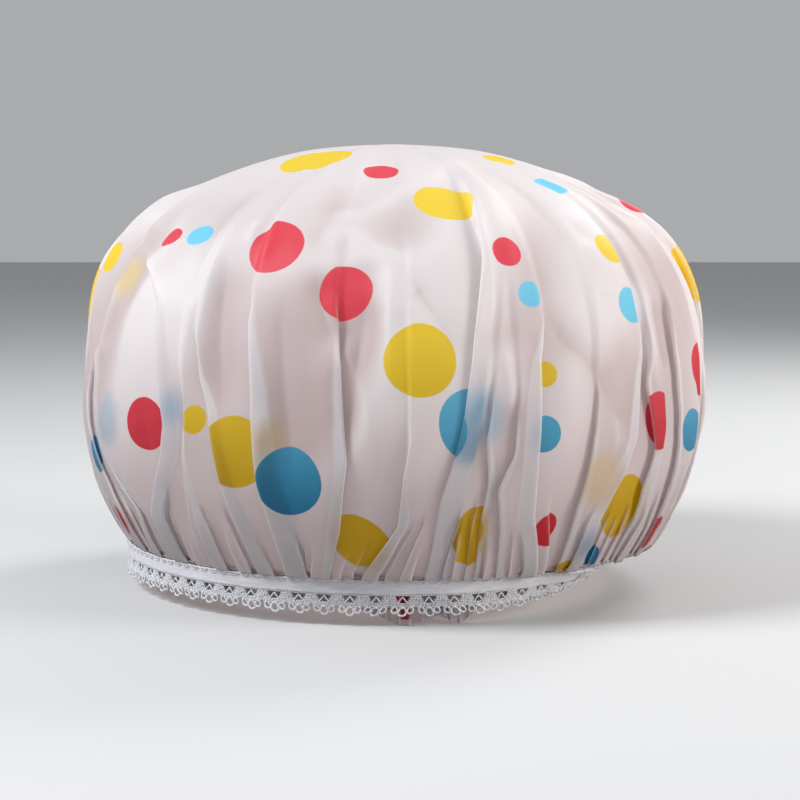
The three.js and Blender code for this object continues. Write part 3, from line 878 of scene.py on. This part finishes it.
class Shader:
    """A material's node tree, built a node at a time."""

    def __init__(self, name):
        self.material = bpy.data.materials.new(name)
        self.material.use_nodes = True
        self.nodes = self.material.node_tree.nodes
        self.links = self.material.node_tree.links
        self.nodes.clear()

    def node(self, kind, inputs=(), output=0, **settings):
        made = self.nodes.new(kind)
        for key, value in settings.items():
            setattr(made, key, value)
        for key, value in dict(inputs).items():
            if isinstance(value, bpy.types.NodeSocket):
                self.links.new(value, made.inputs[key])
            else:
                made.inputs[key].default_value = value
        return made.outputs[output] if made.outputs else None

    def ramp(self, value, low, high):
        inputs = {"Value": value, "From Min": low, "From Max": high}
        return self.node("ShaderNodeMapRange", inputs, interpolation_type="SMOOTHSTEP")

    def math(self, operation, first, second):
        return self.node("ShaderNodeMath", {0: first, 1: second}, operation=operation)

    def blend(self, factor, low, high, blend_type="MIX"):
        inputs = {0: factor, 6: low, 7: high}  # the colour sockets
        return self.node("ShaderNodeMix", inputs, 2, data_type="RGBA", blend_type=blend_type)

    def noise(self, scale, detail=2.0, stretch=(1, 1, 1)):
        place = self.node("ShaderNodeTexCoord", output="Object")
        mapped = self.node("ShaderNodeMapping", {"Vector": place, "Scale": stretch})
        return self.node("ShaderNodeTexNoise", {"Vector": mapped, "Scale": scale, "Detail": detail}, "Fac")

    def bump(self, height, strength, distance):
        return self.node("ShaderNodeBump", {"Height": height, "Strength": strength, "Distance": distance})

    def finish(self, surface):
        self.node("ShaderNodeOutputMaterial", {"Surface": surface})
        return self.material


def film_material():
    shader = Shader("printed_film")
    position = shader.node("ShaderNodeTexCoord", output="Object")
    height = shader.node("ShaderNodeSeparateXYZ", {"Vector": position}, "Z")

    def value(name):
        return shader.node("ShaderNodeAttribute", output="Fac", attribute_name=name)

    # Lower down the film turns pinker and darker: its own pinker tint plus painted shade
    upper = shader.ramp(height, *(level * MM for level in TINT_HEIGHTS))
    single = shader.blend(upper, (*FILM_LOW_TINT_AND_SHADE, 1), (*FILM_COLOUR, 1))
    # Painted shade where the film's slack dips inward
    dip_shade = shader.blend(shader.ramp(value("slack"), *SLACK_SHADE_SPAN), (*DIP_SHADE_COLOUR, 1), (1, 1, 1, 1))
    single = shader.blend(1.0, single, dip_shade, "MULTIPLY")
    # Where other film lies close behind, a whiter colour: the doubled film's denser tint plus painted
    # brightening
    colour = shader.blend(shader.ramp(value("backing"), 0.1, 1.2), single, (*DOUBLED_FILM_TINT_AND_BRIGHTENING, 1))
    shade = shader.blend(upper, (*LOW_SHADE, 1), (1, 1, 1, 1))
    colour = shader.blend(1.0, colour, shade, "MULTIPLY")
    # The inks are darker lower down: painted shade
    high = shader.ramp(height, *(level * MM for level in INK_SHADE_HEIGHTS))
    height_shaded_inks = {}
    for name, ink in DOT_COLOURS.items():
        height_shaded_inks[name] = shader.blend(high, (*SHADED_LOW_DOT_COLOURS[name], 1), (*ink, 1))
    for name, ink in height_shaded_inks.items():
        behind = shader.math("MULTIPLY", value(f"{name}_behind"), GHOST_STRENGTH)
        colour = shader.blend(behind, colour, ink)
    for name, ink in height_shaded_inks.items():
        inside = shader.ramp(value(name), -DOT_EDGE, DOT_EDGE)
        colour = shader.blend(inside, colour, ink)
    # Painted shade in the valleys, where the film bends inward
    valley = shader.ramp(value("relief"), 0.05, -0.8)
    colour = shader.blend(valley, colour, (*VALLEY_SHADE_COLOUR, 1), "MULTIPLY")
    # Painted highlights on the crests and along the folds' turned edges
    crest = shader.math("MULTIPLY", shader.ramp(value("relief"), 0.12, 0.5), CREST_HIGHLIGHT_STRENGTH)
    turned = shader.math("MULTIPLY", value("turned"), EDGE_HIGHLIGHT_STRENGTH)
    colour = shader.blend(shader.math("MAXIMUM", crest, turned), colour, (*EDGE_HIGHLIGHT_COLOUR, 1))
    wrinkles = shader.noise(45, 3, (1, 1, 0.35))
    normal = shader.bump(wrinkles, 0.25, 0.0015)
    inputs = {"Base Color": colour, "Roughness": 0.5, "Specular IOR Level": 0.35, "Normal": normal}
    front = shader.node("ShaderNodeBsdfPrincipled", inputs)
    through = shader.node("ShaderNodeBsdfTranslucent", {"Color": colour, "Normal": normal})
    return shader.finish(shader.node("ShaderNodeMixShader", {0: 0.5, 1: front, 2: through}))


film.data.materials.append(film_material())
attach(film, "root")
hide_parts("crown_film")


# Trim
CORD_RADIUS = 0.42  # of the tape's corded top edge
TAPE_RIBS = 11  # in each repeat of the lace
RIB_DEPTH = 0.02
TAPE_ROWS = 7  # of knitting from its top edge to its lower one
ROW_DEPTH = 0.16
YARN_RADIUS = 0.3
LOOP_RADIUS = 0.4
THREAD_RADIUS = 0.17
STITCHES_PER_REPEAT = 2
STITCH_ABOVE = 0.35
STITCH_BELOW = 1.5
LACE_TOP = TAPE_HEIGHT + SEAT_GAP  # below the tape's top edge
LACE_MIDDLE = -TAPE_THICKNESS / 2
LACE_LEAN = 1.1  # of a repeat's loops to one side, at most
LACE_FREE = 4.2  # from here down a repeat's yarns can lean
PAIRED_ROWS = ((0.7, 2.3), (1.35, 2.5), (2.0, 2.9), (2.7, 3.3))  # beside the opening: down, width
UPRIGHTS = (-4.6, -3.5, 3.5, 4.6)
UPRIGHT_ROWS = 11
TAPE_BEVEL = 0.25
CORD_DOWN = 0.3
CORD_POINTS = 20  # in each repeat
BARTACK_COLUMNS = 9
BARTACK_ROWS = 8
BARTACK_INSET = 0.5  # from the stitches' lower ends and the tape's lower edge
BARTACK_START = 0.53  # repeats before the trim's end
BARTACK_WIDTH = 0.35  # repeats
FRAY_COUNT = 22
FRAY_REACH = (2.5, 9)
FRAY_RADII = (0.09, 0.17)
FRAY_OVERLAP = 0.05  # repeats


class Yarns:
    """Round yarns that make one piece."""

    def __init__(self):
        self.points, self.faces, self.count = [], [], 0

    def skin(self, rings, closed=False):
        """Faces over rings of points, with flat ends unless the run is closed."""
        count, sides, _ = rings.shape
        self.points.append(rings.reshape(-1, 3))
        self.faces += ring_faces(count, sides, self.count, closed)
        if not closed:
            near = self.count + np.arange(sides)
            self.faces += [tuple(near[::-1]), tuple((count - 1) * sides + near)]
        self.count += count * sides

    def add(self, points, radius, closed=False, sides=6):
        """One yarn along a run of points."""
        points = np.asarray(points, float)
        if closed:
            ahead = np.roll(points, -1, axis=0) - np.roll(points, 1, axis=0)
        else:
            ahead = np.gradient(points, axis=0)
        away = points * (1, 1, 0)
        side = np.cross(ahead, away)
        side /= np.linalg.norm(side, axis=1)[:, None]
        out = np.cross(side, ahead)
        out /= np.linalg.norm(out, axis=1)[:, None]
        turn = (np.arange(sides) * TURN / sides)[None, :, None]
        radius = np.broadcast_to(radius, len(points))[:, None, None]
        away = np.cos(turn) * side[:, None] + np.sin(turn) * out[:, None]
        self.skin(points[:, None] + radius * away, closed)

    def piece(self, name):
        return mesh_object(name, np.concatenate(self.points), self.faces)


def wavy(first, last, down, wave, length=0.95, phase=0.0):
    """A row of knitting along the band, waved by this much."""
    across = np.linspace(first, last, max(round(abs(last - first) / 0.4), 3) + 1)
    down = down + wave * np.sin(TURN * across / length + phase)
    return np.stack([across, down], axis=-1), YARN_RADIUS, False


def oval(across, down, half_width, half_height, count, radius=YARN_RADIUS, taper=0.0):
    turn = np.arange(count) * TURN / count
    width = half_width * (1 + taper * np.cos(turn))
    points = [across + width * np.sin(turn), down - half_height * np.cos(turn)]
    return np.stack(points, axis=-1), radius, True


def repeat_runs():
    """The yarns of one repeat of the lace: points across from its middle and down from its top, in mm, the
    yarn's radius, and whether it closes.
    """
    half = LACE_REPEAT / 2
    yield wavy(-half, half, 0.02, 0.1, 0.86)
    for down, width in PAIRED_ROWS:
        yield wavy(-half, width - half, down, 0.2, phase=down * 4)
        yield wavy(half - width, half, down, 0.2, phase=down * 4)
    yield wavy(-half, half, 3.35, 0.2)
    yield wavy(-half, half, 3.95, 0.22, phase=2)
    yield wavy(-4.3, 4.3, 4.5, 0.18, phase=4)
    for across in UPRIGHTS:
        rows = np.linspace(0, UPRIGHTS[-1], UPRIGHT_ROWS)
        yield np.stack([across + 0.3 * (-1.0) ** np.arange(UPRIGHT_ROWS), rows], axis=-1), YARN_RADIUS, False
    for side in (-1, 1):
        slant = [(0, 0.75), (side * 0.75, 1.6), (side * 1.6, 2.7), (side * 2.3, 3.5)]
        yield np.array(slant), YARN_RADIUS, False
        yield oval(side * 3.1, 6.0, 1.22, 1.35, 12, LOOP_RADIUS)
    yield oval(0, 6.6, 1.6, 1.85, 16, LOOP_RADIUS + 0.03, -0.18)
    yield oval(0, 4.75, 0.55, 0.5, 8)


def lace():
    yarns = Yarns()
    runs = list(repeat_runs())
    for tile in range(TRIM_TILES):
        lean, spread, swing = rng.uniform(-1, 1), rng.normal(0, 0.06), rng.uniform(-0.5, 0.5)
        for number, (run, radius, closed) in enumerate(runs):
            free = fade(run[:, 1], LACE_FREE, LACE_HEIGHT)
            across = run[:, 0] * (1 + spread * free) + LACE_LEAN * lean * free
            down = LACE_TOP + run[:, 1] * (1 - 0.04 * free * (1 + lean * run[:, 0] / LACE_REPEAT))
            over = 0.22 * np.sin(np.arange(len(run)) * 2.1 + number) + swing * free
            place = trim_point(tile + 0.5 + across / LACE_REPEAT, down, LACE_MIDDLE + over)
            yarns.add(place, radius, closed, sides=5)
    return yarns.piece("lace_yarns")


def tape():
    """The knitted tape, its cross ribs and its corded top edge."""
    inner, low, bevel = -TAPE_THICKNESS, TAPE_HEIGHT, TAPE_BEVEL
    rows = np.linspace(CORD_RADIUS, low - bevel, 2 * TAPE_ROWS + 1)
    outline = [(down, -ROW_DEPTH * (k % 2)) for k, down in enumerate(rows)]
    outline += [(low, -bevel), (low, inner + bevel), (low - bevel, inner)]
    outline += [(bevel, inner), (0, inner + bevel), (0, -bevel)]
    per_tile = 4 * TAPE_RIBS
    tiles = np.arange(TRIM_TILES * per_tile + 1) / per_tile
    rib = RIB_DEPTH * np.cos(TURN * tiles * TAPE_RIBS)
    slack = 0.08 * np.sin(TURN * tiles * 0.37) + 0.05 * np.sin(TURN * tiles * 1.7)
    lines = [trim_point(tiles, down + slack, out + (rib if out > -bevel else 0)) for down, out in outline]
    yarns = Yarns()
    yarns.skin(np.stack(lines, axis=1))
    cord_tiles = np.arange(TRIM_TILES * CORD_POINTS + 1) / CORD_POINTS
    cord = trim_point(cord_tiles, CORD_DOWN + 0.06 * np.sin(TURN * cord_tiles * 0.37), 0.0)
    yarns.add(cord, CORD_RADIUS * (1 + 0.1 * np.cos(TURN * cord_tiles * 10)), sides=8)
    return yarns.piece("tape_knit")


def zigzag(name, out, over_lap):
    """A zigzag of thread, once round the band."""
    per_turn = 6
    turns = 2 * STITCHES_PER_REPEAT * TILES_PER_TURN
    steps = np.arange(turns * per_turn) / per_turn
    tiles = LAP_TILES + steps / (2 * STITCHES_PER_REPEAT)
    swing = np.abs(steps % 2 - 1)
    down = STITCH_BELOW - (STITCH_ABOVE + STITCH_BELOW) * swing
    pulled = 0.25 * np.sin(math.pi * steps) ** 2 - 0.35 * np.cos(math.pi * steps) ** 2
    if over_lap:
        out = out + np.where(tiles < LAP_TILES + 1 / STITCHES_PER_REPEAT, LAP_RISE, lap_at(tiles))
    yarns = Yarns()
    yarns.add(band_point(tiles, down, out + pulled), THREAD_RADIUS, closed=True)
    return yarns.piece(name)


def bartack():
    """Satin stitches over the lap, by the trim's outer cut end."""
    yarns = Yarns()
    rows = np.linspace(STITCH_BELOW + BARTACK_INSET, TAPE_HEIGHT - BARTACK_INSET, BARTACK_ROWS)
    to_and_fro = (-1.0) ** np.arange(BARTACK_ROWS)
    for column in np.linspace(0, 1, BARTACK_COLUMNS):
        tiles = TRIM_TILES - BARTACK_START + BARTACK_WIDTH * column + 0.012 * to_and_fro
        yarns.add(trim_point(tiles, rows, 0.2 + 0.12 * to_and_fro), THREAD_RADIUS)
    return yarns.piece("bartack_stitches")


def frays():
    """Loose yarn ends at the trim's outer cut end."""
    yarns = Yarns()
    ahead = np.linspace(0, 1, 7)
    for _ in range(FRAY_COUNT):
        reach = rng.uniform(*FRAY_REACH)
        start, fall, curl = rng.uniform(0.4, LACE_TOP + 6), rng.normal(0.5, 2), rng.normal(0, 1.2)
        tiles = TRIM_TILES - FRAY_OVERLAP + ahead * reach / LACE_REPEAT
        down = start + fall * ahead**2 + 0.4 * np.sin(curl + 5 * ahead)
        out = rng.uniform(-0.9, -0.1) + curl * ahead**2
        place = band_point(tiles, down, LAP_RISE + np.maximum(out, -1.2))
        yarns.add(place, rng.uniform(*FRAY_RADII), sides=5)
    return yarns.piece("frayed_ends")


def yarn_material(name, colour, roughness, translucent, fuzz, stretch=(1, 1, 1)):
    shader = Shader(name)
    shade = shader.ramp(shader.noise(900, 2, stretch), 0.2, 0.8)
    darker = tuple(0.82 * c for c in colour)
    tint = shader.blend(shade, (*darker, 1), (*colour, 1))
    normal = shader.bump(shader.noise(2600, 2), fuzz, 0.0004)
    inputs = {"Base Color": tint, "Roughness": roughness, "Sheen Weight": 0.3, "Normal": normal}
    surface = shader.node("ShaderNodeBsdfPrincipled", inputs)
    if translucent:
        through = shader.node("ShaderNodeBsdfTranslucent", {"Color": tint})
        surface = shader.node("ShaderNodeMixShader", {0: translucent, 1: surface, 2: through})
    return shader.finish(surface)


knit_material = yarn_material("knitted_tape", TAPE_COLOUR, 0.75, 0.0, 0.6, (0.12, 0.12, 1))
lace_material = yarn_material("lace_yarn", YARN_COLOUR, 0.6, 0.2, 0.5)
thread_material = yarn_material("sewing_thread", THREAD_COLOUR, 0.5, 0.0, 0.4)
rubber_material = yarn_material("cut_rubber", RUBBER_COLOUR, 0.6, 0.0, 0.2)


def dress(piece, material, slot, *nodes):
    piece.data.materials.append(material)
    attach(piece, "root")
    if nodes:
        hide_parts(*nodes)


dress(tape(), knit_material, "elastic_knit", "elastic_tape")
dress(lace(), lace_material, "lace_yarn", "lace_edging")
needle = zigzag("needle_stitches", SEAT_GAP + THREAD_RADIUS, True)
bobbin = zigzag("bobbin_stitches", FILM_OUT - GATHER_DEPTH - THREAD_RADIUS, False)
dress(needle, thread_material, "sewing_thread", "needle_thread")
dress(bobbin, thread_material, "sewing_thread", "bobbin_thread")
dress(bartack(), thread_material, "sewing_thread", "join_bartack")
dress(frays(), lace_material, "lace_yarn")
for number in (1, 2, 3):
    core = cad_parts[f"rubber_core_{number}"]
    core.data.materials.clear()
    core.data.materials.append(rubber_material)


# Floor and light
FLOOR_REACH = 3000
floor_corners = [(x * FLOOR_REACH, y * FLOOR_REACH, 0) for x, y in ((-1, -1), (1, -1), (1, 1), (-1, 1))]
floor = mesh_object("floor", floor_corners, [(0, 1, 2, 3)])
floor_shader = Shader("floor")
floor_inputs = {"Base Color": (*FLOOR_COLOUR, 1), "Roughness": 0.9, "Specular IOR Level": 0.1}
floor.data.materials.append(floor_shader.finish(floor_shader.node("ShaderNodeBsdfPrincipled", floor_inputs)))


def area_light(name, place, size, energy, colour):
    data = bpy.data.lights.new(name, "AREA")
    data.shape = "DISK"
    data.size = size * MM
    data.energy = energy
    data.color = colour
    light = bpy.data.objects.new(name, data)
    light.location = Vector(place) * MM
    light.rotation_euler = (Vector(place) - aim).to_track_quat("Z", "Y").to_euler()
    bpy.context.collection.objects.link(light)
    return light


lights = [
    area_light("key", (-800, -380, 950), 500, 18, (0.94, 0.97, 1)),
    area_light("fill", (1150, -350, 420), 600, 13, (1, 0.96, 0.93)),
    area_light("rim", (600, 700, 800), 500, 8, (1, 1, 1)),
]
world = bpy.data.worlds.new("studio")
world.use_nodes = True
world.node_tree.nodes["Background"].inputs["Color"].default_value = (*WORLD_COLOUR, 1)
world.node_tree.nodes["Background"].inputs["Strength"].default_value = WORLD_STRENGTH
bpy.context.scene.world = world
